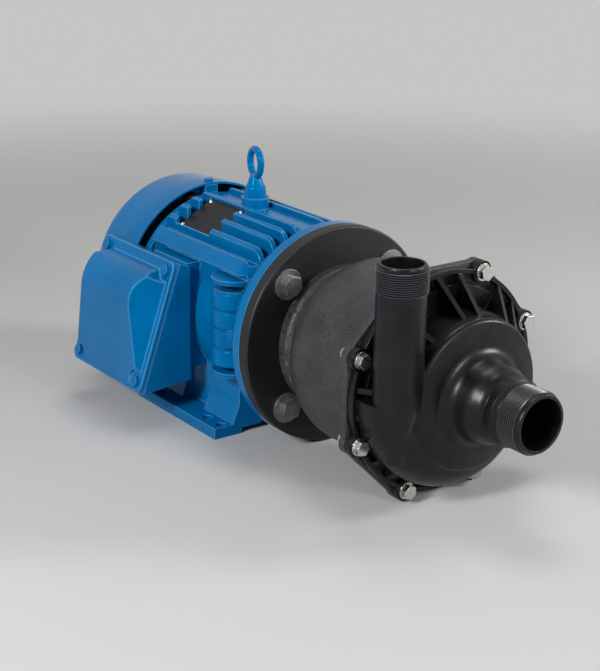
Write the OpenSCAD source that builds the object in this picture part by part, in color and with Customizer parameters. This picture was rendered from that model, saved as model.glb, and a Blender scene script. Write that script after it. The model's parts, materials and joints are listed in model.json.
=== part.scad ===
// Close-coupled magnetic drive pump on a foot-mounted motor.
// +X points to the suction port and +Z is up. The origin is on the floor, midway between the foot holes.

/* [Motor frame] */
// Height of the shaft centre above the feet
shaft_h = 114.3; // [113:0.1:125]
// Distance between the outer foot holes along the shaft
foot_pitch_x = 139.7; // [136:0.1:144]
// Distance from an outer foot hole to the far inner foot hole
foot_pitch_short = 114.3; // [110:0.1:118]
// Distance between the two rows of foot holes across the shaft
foot_pitch_y = 190.5; // [186:0.1:200]
// Diameter of each foot hole
foot_hole_d = 10.3; // [8:0.1:12]
// Thickness of the feet
foot_t = 12; // [9:0.5:16]
// Width of each foot across the shaft
foot_w = 34.6; // [30:0.1:40]
// Distance from a foot hole to the outer edge of its foot
foot_edge = 12.35; // [9:0.05:16]
// Length of foot beyond the outer holes
foot_end = 7.3; // [6.5:0.1:10]
// Length of the finned frame
frame_len = 180; // [174:0.5:186]
// Bore of the frame, which holds the stator
frame_bore_d = 160; // [156:0.5:164]
// Wall of the frame between the fins
frame_wall = 9; // [7:0.5:11]
// Diameter over the fin tips
fin_tip_d = 216; // [212:0.5:220]
// Thickness of a fin
fin_t = 4.5; // [3:0.1:6]
// Spacing of the fins
fin_pitch = 15; // [13:0.1:16]
// Radius of the rounded fin ends
fin_end_r = 14; // [8:0.5:18]
// Distance from the front foot hole to the motor face
face_gap = 60.35; // [58:0.05:64]

/* [End shields] */
// Diameter of the motor face
face_d = 228; // [226:0.1:228.4]
// Diameter of the pilot that centres the adapter plate
pilot_d = 215.9; // [212:0.1:219]
// Height of the pilot
pilot_h = 6; // [4:0.1:7]
// Circle of the face bolts
face_circle_d = 184.15; // [182:0.05:188]
// Diameter of the face bolts
face_bolt_d = 12.7; // [10:0.1:14]
// Length of the drive end shield from the frame to the face
shield_depth = 32.2; // [30:0.1:36]
// Wall of the fan end shield
rear_wall = 12; // [10:0.5:14]
// Length of each shield's spigot inside the frame
spigot_len = 8; // [5:0.5:10]

/* [Shaft and bearings] */
// Diameter of the drive end of the motor shaft
shaft_end_d = 28.575; // [26:0.005:29.5]
// Length of the drive end beyond the motor face
shaft_end_len = 66.7; // [64:0.1:70]
// Drive end bearing bore
drive_bearing_bore = 30; // [29.6:0.1:32]
// Drive end bearing outer diameter
drive_bearing_od = 62; // [60:0.5:66]
// Drive end bearing width
drive_bearing_w = 16; // [14:0.5:17]
// Fan end bearing bore
fan_bearing_bore = 25; // [23:0.1:27]
// Fan end bearing outer diameter
fan_bearing_od = 52; // [50:0.5:56]
// Fan end bearing width
fan_bearing_w = 15; // [13:0.5:16]
// Diameter of the rotor
rotor_d = 95; // [88:0.5:102]
// Length of the rotor and stator cores
core_len = 90; // [80:0.5:94]

/* [Fan and fan cover] */
// Diameter of the fan cover at its rim
fan_cover_d = 225; // [222:0.5:230]
// Length of the fan cover
fan_cover_len = 82; // [78:0.5:90]
// Sheet thickness of the fan cover
fan_cover_wall = 2.5; // [1.5:0.1:3.5]
// Diameter of the cooling fan
fan_d = 184; // [160:0.5:190]

/* [Terminal box] */
// Width of the box rim along the shaft
box_w = 142; // [138:0.5:146]
// Height of the box rim along its slope
box_h = 142; // [138:0.5:146]
// Slope of the box rim from the vertical
box_slope = 18.8; // [17.5:0.1:20]
// Distance of the box rim's centre from the shaft axis
box_out = 132.4; // [130:0.1:138]
// Height of the box rim's centre above the shaft axis
box_rise = -6.4; // [-9:0.1:-2]
// Place of the box along the shaft
box_x = -56; // [-60:0.5:-52]
// Wall of the box
box_wall = 6; // [4:0.5:7]
// Distance of the flat hood face from the shaft axis
hood_out = 160; // [158:0.5:164]
// Diameter of the threaded conduit entry
conduit_d = 24.3; // [18:0.1:28]

/* [Lifting eye and data plate] */
// Inner diameter of the lifting eye
eye_bore_d = 21; // [18:0.5:26]
// Thickness of the lifting eye's ring
eye_ring_t = 7.5; // [7:0.5:11]
// Place of the lifting eye along the shaft
eye_x = -6.6; // [-12:0.1:0]
// Length of the data plate along the shaft
plate_len = 66; // [60:0.5:72]
// Width of the data plate
plate_w = 50; // [44:0.5:54]

/* [Drive bracket] */
// Thickness of the adapter plate on the motor face
adapter_t = 13.2; // [12.5:0.1:16]
// Length from the adapter plate to the casing joint
bracket_len = 154.6; // [152:0.1:161]
// Diameter of the ring at the adapter end
bracket_ring_d = 151; // [149:0.5:156]
// Diameter of the barrel next to the ring
barrel_d = 143; // [140:0.5:146]
// Diameter of the barrel next to the casing flange
barrel_flange_d = 194; // [186:0.5:197]
// Length over which the bracket swells behind its ring
bell_len = 48; // [42:1:56]
// Thickness of the bracket flange
bracket_flange_t = 8; // [7:0.5:10]

/* [Pump casing] */
// Circle of the casing bolts
casing_circle_d = 218.8; // [217:0.2:224]
// Diameter of the casing bolts
casing_bolt_d = 8; // [6:0.5:9]
// Radius of the flange lug round each casing bolt
corner_r = 11; // [10.5:0.5:13]
// Thickness of the casing flange at its rim
casing_flange_t = 8; // [7.5:0.5:9]
// Depth of the scroll from the casing joint to its front face
scroll_depth = 51; // [49:0.5:53]
// Radius of the scroll's first quarter
scroll_r = 70; // [69:0.5:72]
// Growth of the scroll's radius in each quarter turn
scroll_growth = 10; // [9:0.1:11]
// Wall of the scroll
scroll_wall = 8; // [6:0.5:9]
// Distance from the casing joint to the discharge axis
discharge_x = 34.8; // [33:0.1:37]
// Height of the discharge rim above the shaft axis
discharge_rise = 136; // [130:0.1:146]
// Diameter over the discharge thread
discharge_thread_d = 48.3; // [47:0.1:49]
// Bore of the discharge
discharge_bore_d = 38.1; // [34:0.1:39]
// Distance from the casing joint to the suction rim
suction_len = 136.4; // [133:0.1:145]
// Diameter over the suction thread
suction_thread_d = 60.3; // [58:0.1:62]
// Bore of the suction
suction_bore_d = 49.2; // [46:0.1:50]
// Length of both pipe threads
thread_len = 28; // [24:0.5:30]
// Depth of both pipe threads, from crest to root
thread_depth = 1.6; // [1:0.1:1.8]

/* [Wet end] */
// Outer diameter of the rear casing's can
can_d = 90; // [88:0.5:91]
// Wall of the can
can_wall = 3.5; // [2.5:0.1:4]
// Diameter of the fixed pump shaft
pump_shaft_d = 14; // [12:0.1:16]
// Diameter of the impeller
impeller_d = 118; // [110:0.5:120]
// Width of the passage between the impeller shrouds
impeller_gap = 12; // [10:0.5:13]
// Number of impeller vanes
vane_count = 6; // [4:1:7]

/* [Clearances] */
// Radial clearance of located and threaded fits
fit = 0.05; // [0.02:0.01:0.1]
// Radial running clearance of the pump bushing on its shaft
running = 0.06; // [0.03:0.01:0.1]
// Gap between flat faces that pass each other
float_gap = 0.4; // [0.3:0.05:0.8]
// Radial gap between the can and the magnets on each side
magnet_gap = 1; // [0.6:0.1:1.4]
// Air gap between rotor and stator
air_gap = 0.5; // [0.35:0.05:0.8]

/* [Hidden] */
$fn = 96;
small = 1;
motor_blue = "#0d6fae";
bare_steel = "#9aa0a4";
satin_black = "#26282a";
moulded_black = "#1d1e20";

// Stations along the shaft
face_x = foot_pitch_x / 2 + face_gap;
pilot_x = face_x + pilot_h;
frame_x1 = face_x - shield_depth;
frame_x0 = frame_x1 - frame_len;
adapter_x1 = face_x + adapter_t;
joint_x = adapter_x1 + bracket_len;
flange_x0 = joint_x - bracket_flange_t;
lip_x = joint_x + casing_flange_t;
scroll_x1 = joint_x + scroll_depth;
suction_x = joint_x + suction_len;
rear_x = frame_x0 - rear_wall;
fan_cover_x1 = rear_x + 2;
fan_cover_x0 = fan_cover_x1 - fan_cover_len;

// Frame, fins and feet
frame_r = frame_bore_d / 2;
barrel_r = frame_r + frame_wall;
fin_r = fin_tip_d / 2;
top_fins = [0 : 4];
bottom_fins = [0 : 2];
side_fins = [-3 : 3];
fin_start = 18;
bottom_cut = 8;
ledge_z = 68;
crown_drop = 6;
root_y = frame_r / 2;
foot_x = foot_pitch_x / 2 + foot_end;
foot_inner_x = foot_pitch_short - foot_pitch_x / 2;
foot_y1 = foot_pitch_y / 2 + foot_edge;
foot_y0 = foot_y1 - foot_w;
web_t = 55;
web_lean = 8;
web_rise = 20;
block_len = 48;
block_z0 = -35;
block_z1 = 46;
block_lobes = 4;
block_round = 4;
block_sink = 4;
shield_screw_d = 8;
shield_screw_len = 26;
shield_screw_r = barrel_r + 1.3;
shield_boss_r = 9;
shield_angles = [0 : 90 : 270];
rear_angles = [45 : 90 : 315];
face_angles = [45 : 90 : 315];
face_hole_len = 18;

// Bearings and cores
drive_seat_x0 = frame_x1 + 6;
drive_seat_x1 = drive_seat_x0 + drive_bearing_w;
drive_hub_r = drive_bearing_od / 2 + 12;
fan_seat_x1 = frame_x0 + 9;
fan_seat_x0 = fan_seat_x1 - fan_bearing_w;
fan_hub_r = fan_bearing_od / 2 + 10;
spring_t = 2;
shaft_gap = 2.5;
shaft_core_d = 40;
core_x0 = (frame_x0 + frame_x1 - core_len) / 2;
core_x1 = core_x0 + core_len;
end_ring_len = 12;
end_turn_len = 18;
stator_slots = 24;
slot_w = 6;
slot_r0 = rotor_d / 2 + 4.5;
slot_r1 = frame_r - 12;
slot_gap = 0.3;
stator_bore_r = rotor_d / 2 + air_gap;

// Fan end
fan_shaft_d = 20;
fan_hub_x0 = fan_cover_x0 + 30;
fan_hub_x1 = fan_hub_x0 + 30;
fan_disc_x = fan_hub_x1 - 4;
fan_shaft_x0 = fan_hub_x0 - 3;
fan_blades = 8;
cover_angles = [90, 235, 305];
cover_seat = 16;
vent_bar = 5;
cover_screw_x = fan_cover_x1 - 6;
cover_screw_d = 5;
cover_taper = 3.5;
cover_round = 16;
fan_rim_r = fan_cover_d / 2;
lug_r = fan_rim_r - fan_cover_wall;
vent_pitch = 12;
vent_w = 6;

// Terminal box
pad_y = 97;
pad_half = 58;
box_z = shaft_h + box_rise;
saddle_r = fan_rim_r + 2.5;
saddle_x = box_x - 6;
gasket_t = 1.5;
cover_rim_t = 5;
rim_round = 8;
screw_inset = 10.5;
cover_screw_size = 6;
lead_hole_r = 18;
lead_x = box_x + box_w / 2 - 35;
box_screw_d = 8;
pad_screw_x = 24;
pad_screw_z = 30;
conduit_x = lead_x;
conduit_y = -127;
conduit_len = 20;
conduit_boss_r = conduit_d / 2 + 5;
cover_screw_len = 8;
post_r = 8;
post_len = 16;
gasket_w = 17;
rim_top = [-box_out + sin(box_slope) * box_h / 2, box_rise + cos(box_slope) * box_h / 2];
rim_low = [-box_out - sin(box_slope) * box_h / 2, box_rise - cos(box_slope) * box_h / 2];
box_x0 = box_x - box_w / 2;
box_x1 = box_x + box_w / 2;
hood_top = rim_top[1] - 9;
hood_foot = rim_low[1] + 6;
hood_round = 34;
hood_draft = 33;
hood_reach = 60;
hood_wall = 4;
scoop_r = screw_inset + 1.5;

// Data plate seat, cut into the fin tips
plate_angle = 119;
plate_seat_r = 98;
plate_t = 1;
plate_x0 = box_x - 7;
plate_shift = -8;
pin_d = 3;
pin_inset = 4;

// Lifting eye
eye_seat_z = shaft_h + fin_r + 6;
eye_boss_r = 15;
eye_collar_r = 12.5;
eye_collar_h = 19;
eye_turn = -12;
eye_mid_z = eye_seat_z + eye_collar_h + eye_bore_d / 2 + eye_ring_t;
eye_shank_d = 12;
eye_shank_len = 15;

// Bracket
ring_len = 14;
bracket_bore_r = 61;
barrel_wall = 10;
bell_r = barrel_flange_d / 2 - 1;
bracket_screw_r = (bracket_bore_r + bracket_ring_d / 2) / 2;
bracket_screw_d = 6;
bracket_screw_len = 12;
bracket_angles = [0 : 60 : 300];
sunk_head_h = 3.3;
recess_x = pilot_x + fit;

// Casing joint
casing_r = casing_circle_d / 2;
casing_angles = [22.5 : 45 : 337.5];
flange_apothem = casing_r - 2.4;
rim_r = casing_r + 0.1;
lip_w = 4.5;
flange_plate_x = joint_x + 4;
step_r = casing_r - 14.4;
rear_flange_r = 92;
bracket_seat_r = rear_flange_r - 10;
rear_flange_t = 5;
o_ring_r = 78;
o_ring_t = 3.8;
chamber_r = 62;
plug_x = joint_x + 11;
chamber_x1 = scroll_x1 - scroll_wall;
dome_r = 74;
ridge_x = scroll_x1 + 3;
ridge_round = 5;
scroll_edge = 26;
scroll_centres = [[1, 1], [1, -1], [-1, -1], [-1, 1]] * (scroll_growth / 2);
rib_t = 5;
rib_spread = 7.3;
washer_t = 1.6;
casing_head_h = 6;
spot_r = casing_bolt_d + 1.2;

// Ports
tube_r = discharge_thread_d / 2 - 1.2;
tube_x = joint_x + discharge_x;
tube_y = -scroll_r - scroll_growth;
tube_foot_z = shaft_h + 8;
tube_fade = 60;
discharge_z = shaft_h + discharge_rise;
suction_root_r = suction_thread_d / 2 - thread_depth;
discharge_root_r = discharge_thread_d / 2 - thread_depth;
thread_x0 = suction_x - thread_len;
rim_chamfer = 2;
neck_r = suction_thread_d / 2 + 3.4;
shoulder_r = neck_r + 6;
neck_round = 13;
neck_x0 = ridge_x + 3 + neck_round;
neck_x1 = thread_x0 - 17;

// Magnet coupling
can_r = can_d / 2;
can_bore_r = can_r - can_wall;
can_x0 = joint_x - 90;
can_end_t = 5;
outer_magnet_r0 = can_r + magnet_gap;
outer_magnet_r1 = outer_magnet_r0 + 4.5;
cup_r = outer_magnet_r1 + 6;
shaft_x1 = face_x + shaft_end_len;
hub_x0 = pilot_x + 3;
hub_r = 25;
web_x0 = shaft_x1 - 11;
cup_x1 = joint_x - 12;
magnet_x1 = cup_x1 - 2;
magnet_x0 = magnet_x1 - 46;
magnets = 8;
magnet_arc = 360 / magnets - 5;
key_w = 6.35;
key_len = 32;
key_x0 = shaft_x1 - key_len - 4;
set_screw_d = 8;
set_screw_x = hub_x0 + 7;
set_screw_angles = [0, 180];

// Rotating wet end
inner_r = can_bore_r - magnet_gap;
socket_x1 = can_x0 + can_end_t + 14;
thrust_t = 4;
thrust_r = pump_shaft_d / 2 + 6;
bush_r = pump_shaft_d / 2 + 5;
bush_x0 = socket_x1 + thrust_t + float_gap;
bush_x1 = scroll_x1 + 7;
inner_x0 = bush_x0 + 2;
inner_x1 = joint_x - 8;
shell_t = 1.5;
inner_magnet_r0 = inner_r - 8;
shroud_t = 4;
shroud_x = plug_x + 3;
passage_x0 = shroud_x + shroud_t;
passage_x1 = passage_x0 + impeller_gap;
eye_r = 26;
eye_x1 = scroll_x1 + 1;
nose_r = bush_r + 3;
mouth_t = 3.5;
front_thrust_x = bush_x1 + float_gap;
spider_x0 = front_thrust_x + thrust_t;
spider_x1 = spider_x0 + 26;
spider_r = pump_shaft_d / 2 + 5;
pump_shaft_x0 = can_x0 + can_end_t + 1;
pump_shaft_x1 = spider_x0 + 14;

// Points of an arc about (cx, cy), from angle a0 to a1
function arc(cx, cy, r, a0, a1, n = 8) =
  [for (i = [0 : n]) let (a = a0 + (a1 - a0) * i / n) [cx + r * cos(a), cy + r * sin(a)]];

// Puts the children's Z along the shaft, starting at x
module along_x(x) translate([x, 0, shaft_h]) rotate([0, 90, 0]) children();

// A round bar on the shaft axis
module bar_x(r, x0, x1) along_x(x0) cylinder(r = r, h = x1 - x0);

// A ring on the shaft axis
module ring_x(r1, r0, x0, x1) {
  difference() {
    bar_x(r1, x0, x1);
    bar_x(r0, x0 - small, x1 + small);
  }
}

// A body turned about the shaft axis, from points [radius, x]
module turned(points) along_x(0) rotate_extrude() polygon(points);

// Turns the children about the shaft axis, so that their Y points along angle a
module spoke(a) translate([0, 0, shaft_h]) rotate([a, 0, 0]) children();

// A round bar parallel to the shaft, at angle a and radius r
module bar_at(a, r, bar_r, x0, x1) {
  spoke(a) translate([x0, r, 0]) rotate([0, 90, 0]) cylinder(r = bar_r, h = x1 - x0);
}

// A hexagon bar parallel to the shaft
module hex_at(a, r, across, x0, x1) {
  spoke(a) translate([x0, r, 0]) rotate([0, 90, 0]) cylinder(d = across / cos(30), h = x1 - x0, $fn = 6);
}

// A round bar that points away from the shaft axis
module radial_bar(a, x, bar_r, r0, r1) {
  spoke(a) translate([x, r0, 0]) rotate([-90, 0, 0]) cylinder(r = bar_r, h = r1 - r0);
}

// A plate in a plane through the shaft axis at angle a, from points [x, radius]
module rib(a, t, points) spoke(a) translate([0, 0, -t / 2]) linear_extrude(t) polygon(points);

// A plate across the shaft, from points [y, z] counted from the shaft axis
module slab_x(x0, x1, points) {
  translate([x0, 0, shaft_h]) rotate([90, 0, 90]) linear_extrude(x1 - x0) polygon(points);
}

// Part of a ring on the shaft axis, between two angles
module ring_sector(a0, a1, r1, r0, x0, x1) {
  along_x(0) rotate([0, 0, a0 + 90]) rotate_extrude(angle = a1 - a0)
    polygon([[r0, x0], [r1, x0], [r1, x1], [r0, x1]]);
}

// An octagon across the shaft, with its corners at the casing bolts
module octagon_x(apothem, x0, x1) {
  along_x(x0) rotate([0, 0, 22.5]) cylinder(r = apothem / cos(22.5), h = x1 - x0, $fn = 8);
}

// Round lugs of both casing flanges at the casing bolts
module casing_lugs(x0, x1) {
  for (a = casing_angles) bar_at(a, casing_r, corner_r, x0, x1);
}

// A flat plate with rounded corners
module rounded_plate(w, h, r, t) {
  linear_extrude(t) union() {
    square([w - 2 * r, h], center = true);
    square([w, h - 2 * r], center = true);
    for (x = [-1, 1], y = [-1, 1]) translate([x * (w / 2 - r), y * (h / 2 - r)]) circle(r = r);
  }
}

// Cast iron motor frame: a finned barrel with feet
module fin_envelope() {
  turned(concat(
    [[0, frame_x0], [fin_r - 4, frame_x0], [fin_r, frame_x0 + 4]],
    arc(fin_r - fin_end_r, frame_x1 - fin_end_r, fin_end_r, 0, 90),
    [[0, frame_x1]]
  ));
}

module upright_fin(side, k, z0, z1) {
  y = side * (fin_start + k * fin_pitch);
  translate([frame_x0, y - fin_t / 2, shaft_h + z0]) cube([frame_len, fin_t, z1 - z0]);
}

// Cast column of rounded lobes on the terminal box side, in front of the box, between two round fins
module side_block() {
  r = block_len / 2;
  lobe = (block_z1 - block_z0) / block_lobes;
  translate([frame_x1 - r - 2, block_sink + r - fin_r, shaft_h]) {
    translate([0, 0, block_z0]) cylinder(r = r - block_round, h = block_z1 - block_z0);
    for (i = [0 : block_lobes - 1]) translate([0, 0, block_z0 + i * lobe]) rotate_extrude() polygon(concat(
      [[0, 0.5]], arc(r - block_round, block_round, block_round, -90 + 30, 0, 4),
      arc(r - block_round, lobe - block_round, block_round, 0, 90 - 30, 4), [[0, lobe - 0.5]]
    ));
    for (z = [block_z0 - 10, block_z1 + 8]) translate([0, 0, z]) cylinder(r = r, h = fin_t);
  }
}

module fins() {
  intersection() {
    fin_envelope();
    union() {
      for (side = [-1, 1], k = top_fins) upright_fin(side, k, root_y / 2, fin_r);
      for (side = [-1, 1], k = bottom_fins) upright_fin(side, k, bottom_cut - fin_r, -root_y);
      for (k = side_fins)
        translate([frame_x0, root_y, shaft_h + k * fin_pitch - fin_t / 2]) cube([frame_len, fin_r, fin_t]);
      for (side = [0, 1]) mirror([0, side, 0])
        translate([frame_x0, root_y, shaft_h + ledge_z - fin_t]) cube([frame_len, fin_r, 2 * fin_t]);
      translate([frame_x0, fin_t - fin_start, shaft_h + root_y])
        cube([frame_len, 2 * (fin_start - fin_t), fin_r - root_y - crown_drop]);
    }
  }
  side_block();
}

// One foot with its webs, on the far side
module foot() {
  translate([-foot_x, foot_y0, 0]) cube([2 * foot_x, foot_w, foot_t]);
  web_y = foot_y1 - foot_edge - foot_hole_d;
  for (x = [-foot_x, foot_x - web_t])
    slab_x(x, x + web_t, [
      [frame_r * 0.6, foot_t / 2 - shaft_h], [web_y, foot_t / 2 - shaft_h], [web_y, foot_t - shaft_h],
      [web_y - web_lean, foot_t + web_rise - shaft_h],
      [barrel_r * 0.86, -barrel_r * 0.45], [barrel_r * 0.5, -barrel_r * 0.5]
    ]);
  slab_x(-foot_x, foot_x, [
    [frame_r * 0.6, foot_t / 2 - shaft_h], [foot_y0 + small, foot_t / 2 - shaft_h],
    [foot_y0 + small, foot_t - shaft_h], [barrel_r * 0.8, -barrel_r * 0.58], [barrel_r * 0.6, -barrel_r * 0.6]
  ]);
}

module plate_seat() {
  spoke(plate_angle) translate([plate_x0, plate_seat_r, plate_shift - plate_w / 2])
    cube([plate_len, fin_r, plate_w]);
}

module motor_frame() {
  color(motor_blue) difference() {
    union() {
      bar_x(barrel_r, frame_x0, frame_x1);
      fins();
      for (side = [0, 1]) mirror([0, side, 0]) foot();
      for (a = rear_angles)
        bar_at(a, shield_screw_r, shield_boss_r, frame_x0 + small, frame_x0 + shield_screw_len + 4);
      for (a = shield_angles)
        bar_at(a, shield_screw_r, shield_boss_r, frame_x1 - shield_screw_len - 4, frame_x1);
      for (p = plate_corners()) spoke(plate_angle) translate([p[0], barrel_r - 6, p[1]]) rotate([-90, 0, 0])
        cylinder(r = pin_d + 2, h = plate_seat_r - barrel_r + 6);
      translate([lead_x - 36, -pad_y, shaft_h - pad_half]) cube([64, pad_y - root_y, 2 * pad_half]);
      translate([eye_x, 0, shaft_h + root_y]) cylinder(r = eye_boss_r, h = eye_seat_z - shaft_h - root_y);
    }
    bar_x(frame_r, frame_x0 - small, frame_x1 + small);
    for (a = rear_angles)
      bar_at(a, shield_screw_r, shield_screw_d / 2 + fit, frame_x0 - small, frame_x0 + shield_screw_len);
    for (a = shield_angles)
      bar_at(a, shield_screw_r, shield_screw_d / 2 + fit, frame_x1 - shield_screw_len, frame_x1 + small);
    for (x = [foot_pitch_x / 2, foot_inner_x], sx = [-1, 1], sy = [-1, 1])
      translate([sx * x, sy * foot_pitch_y / 2, -small]) cylinder(d = foot_hole_d, h = foot_t + 2 * small);
    plate_seat();
    for (p = plate_corners())
      spoke(plate_angle) translate([p[0], plate_seat_r - 6, p[1]]) rotate([-90, 0, 0])
        cylinder(d = pin_d + 2 * fit, h = 7);
    translate([lead_x, -pad_y - small, shaft_h]) rotate([-90, 0, 0]) cylinder(r = lead_hole_r, h = pad_y);
    for (p = pad_screws())
      translate([p[0], -pad_y - small, p[1]]) rotate([-90, 0, 0])
        cylinder(d = box_screw_d + 2 * fit, h = 12 + small);
    translate([eye_x, 0, eye_seat_z - eye_shank_len])
      cylinder(d = eye_shank_d + 2 * fit, h = eye_shank_len + small);
  }
}

function plate_corners() = [
  for (x = [pin_inset, plate_len - pin_inset], z = [pin_inset, plate_w - pin_inset])
    [plate_x0 + x, z + plate_shift - plate_w / 2]
];

function pad_screws() = [
  for (x = [-1, 1], z = [-1, 1]) [lead_x - 4 + x * pad_screw_x, shaft_h + z * pad_screw_z]
];

// Drive end shield with the motor face and the bearing seat
module front_end_shield() {
  seat_r = drive_bearing_od / 2 + fit;
  hole_r = drive_bearing_bore / 2 + shaft_gap;
  color(motor_blue) difference() {
    turned([
      [hole_r, pilot_x], [pilot_d / 2, pilot_x], [pilot_d / 2, face_x], [face_d / 2, face_x],
      [face_d / 2, face_x - 11], [face_d / 2 - 2.5, face_x - 13.5], [fin_r - fin_end_r + 7, frame_x1],
      [frame_r - fit, frame_x1], [frame_r - fit, frame_x1 - spigot_len], [frame_r - 8, frame_x1 - spigot_len],
      [frame_r - 8, face_x - 16], [drive_hub_r, face_x - 16], [drive_hub_r, drive_seat_x0 - 2],
      [seat_r, drive_seat_x0 - 2], [seat_r, drive_seat_x1], [hole_r, drive_seat_x1]
    ]);
    for (a = shield_angles) {
      bar_at(a, shield_screw_r, shield_screw_d / 2 + fit, frame_x1 - small, pilot_x + small);
      bar_at(a, shield_screw_r, shield_screw_d, pilot_x - shield_screw_d - small, pilot_x + small);
    }
    for (a = face_angles)
      bar_at(a, face_circle_d / 2, face_bolt_d / 2 + fit, pilot_x - face_hole_len, pilot_x + small);
  }
}

// Fan end shield with the second bearing seat and the lugs of the fan cover
module rear_end_shield() {
  seat_r = fan_bearing_od / 2 + fit;
  hole_r = fan_bearing_bore / 2 + shaft_gap;
  color(motor_blue) difference() {
    union() {
      turned([
        [hole_r, rear_x], [fin_r - 10, rear_x], [fin_r - 7, rear_x + 3], [fin_r - 7, frame_x0],
        [frame_r - fit, frame_x0], [frame_r - fit, frame_x0 + spigot_len],
        [frame_r - 8, frame_x0 + spigot_len],
        [frame_r - 8, frame_x0 - 2], [fan_hub_r, frame_x0 - 2], [fan_hub_r, fan_seat_x1 + 1],
        [seat_r, fan_seat_x1 + 1], [seat_r, fan_seat_x0 - spring_t], [hole_r, fan_seat_x0 - spring_t]
      ]);
      intersection() {
        for (a = cover_angles)
          rib(a, 16, [
            [rear_x - 10, fin_r - 22], [rear_x - 10, fan_rim_r],
            [fan_cover_x1, fan_rim_r], [fan_cover_x1, fin_r - 22]
          ]);
        bar_x(lug_r - fit, rear_x - 10, fan_cover_x1);
      }
    }
    for (a = rear_angles)
      bar_at(a, shield_screw_r, shield_screw_d / 2 + fit, rear_x - 12, frame_x0 + small);
    for (a = cover_angles) radial_bar(a, cover_screw_x, cover_screw_d / 2 + fit, lug_r - 10, fan_rim_r);
  }
}

// Hexagon screws that hold the shields
module front_shield_screws() {
  seat = pilot_x - shield_screw_d - small;
  color(bare_steel) for (a = shield_angles) {
    hex_at(a, shield_screw_r, 13, seat, seat + 5.3);
    bar_at(a, shield_screw_r, shield_screw_d / 2, frame_x1 - shield_screw_len + 2, seat + small);
  }
}

module rear_shield_screws() {
  color(bare_steel) for (a = rear_angles) {
    hex_at(a, shield_screw_r, 13, rear_x - 5.3, rear_x);
    bar_at(a, shield_screw_r, shield_screw_d / 2, rear_x - small, frame_x0 + shield_screw_len - 2);
  }
}

// Stator: a slotted core with its windings
module stator_core() {
  color("#55585c") difference() {
    ring_x(frame_r - fit, stator_bore_r, core_x0, core_x1);
    for (i = [0 : stator_slots - 1])
      rib(i * 360 / stator_slots, slot_w, [
        [core_x0 - small, slot_r0], [core_x1 + small, slot_r0],
        [core_x1 + small, slot_r1], [core_x0 - small, slot_r1]
      ]);
  }
}

module stator_windings() {
  color("#b06a34") {
    for (i = [0 : stator_slots - 1])
      rib(i * 360 / stator_slots, slot_w - 2 * slot_gap, [
        [core_x0 - 2, slot_r0 + slot_gap], [core_x1 + 2, slot_r0 + slot_gap],
        [core_x1 + 2, slot_r1 - slot_gap], [core_x0 - 2, slot_r1 - slot_gap]
      ]);
    ring_x(slot_r1 + 2, slot_r0 - 1, core_x1 + slot_gap, core_x1 + end_turn_len);
    ring_x(slot_r1 + 2, slot_r0 - 1, core_x0 - end_turn_len, core_x0 - slot_gap);
  }
}

// Motor shaft with its steps
module motor_shaft() {
  color(bare_steel) difference() {
    union() {
      bar_x(fan_shaft_d / 2, fan_shaft_x0, fan_seat_x0);
      bar_x(fan_bearing_bore / 2, fan_seat_x0 - 6, fan_seat_x1);
      bar_x(fan_bearing_bore / 2 + 2.5, fan_seat_x1, core_x0);
      bar_x(shaft_core_d / 2, core_x0 - end_ring_len, core_x1 + end_ring_len);
      bar_x(drive_bearing_bore / 2 + 2.5, core_x1, drive_seat_x0);
      bar_x(drive_bearing_bore / 2, drive_seat_x0, pilot_x);
      bar_x(shaft_end_d / 2, drive_seat_x1, shaft_x1);
    }
    translate([key_x0, -key_w / 2 - fit, shaft_h + shaft_end_d / 2 - key_w / 2])
      cube([key_len, key_w + 2 * fit, key_w]);
  }
}

module shaft_key() {
  color(bare_steel) translate([key_x0, -key_w / 2, shaft_h + shaft_end_d / 2 - key_w / 2])
    cube([key_len, key_w, key_w]);
}

module rotor_core() {
  color("#6a6d70") ring_x(rotor_d / 2, shaft_core_d / 2, core_x0, core_x1);
}

module rotor_end_rings() {
  color("#b9bdc0") {
    ring_x(rotor_d / 2 - 2, rotor_d / 2 - 18, core_x1, core_x1 + end_ring_len);
    ring_x(rotor_d / 2 - 2, rotor_d / 2 - 18, core_x0 - end_ring_len, core_x0);
  }
}

// Ball bearings: two grooved rings with balls between them
function bearing_mid(bore, od) = (bore + od) / 4;
function ball_r(bore, od) = (od - bore) * 0.147;
function ring_step(bore, od) = (od - bore) * 0.15;

module bearing_groove(bore, od, x) {
  along_x(x) rotate_extrude() translate([bearing_mid(bore, od), 0]) circle(r = ball_r(bore, od) + fit);
}

module bearing_outer(bore, od, x0, x1) {
  color(bare_steel) difference() {
    ring_x(od / 2, od / 2 - ring_step(bore, od), x0, x1);
    bearing_groove(bore, od, (x0 + x1) / 2);
  }
}

module bearing_inner(bore, od, x0, x1) {
  color(bare_steel) difference() {
    ring_x(bore / 2 + ring_step(bore, od), bore / 2, x0, x1);
    bearing_groove(bore, od, (x0 + x1) / 2);
  }
}

module bearing_balls(bore, od, x0, x1) {
  color(bare_steel) for (a = [0 : 40 : 320])
    spoke(a) translate([(x0 + x1) / 2, bearing_mid(bore, od), 0]) sphere(r = ball_r(bore, od));
}

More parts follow.
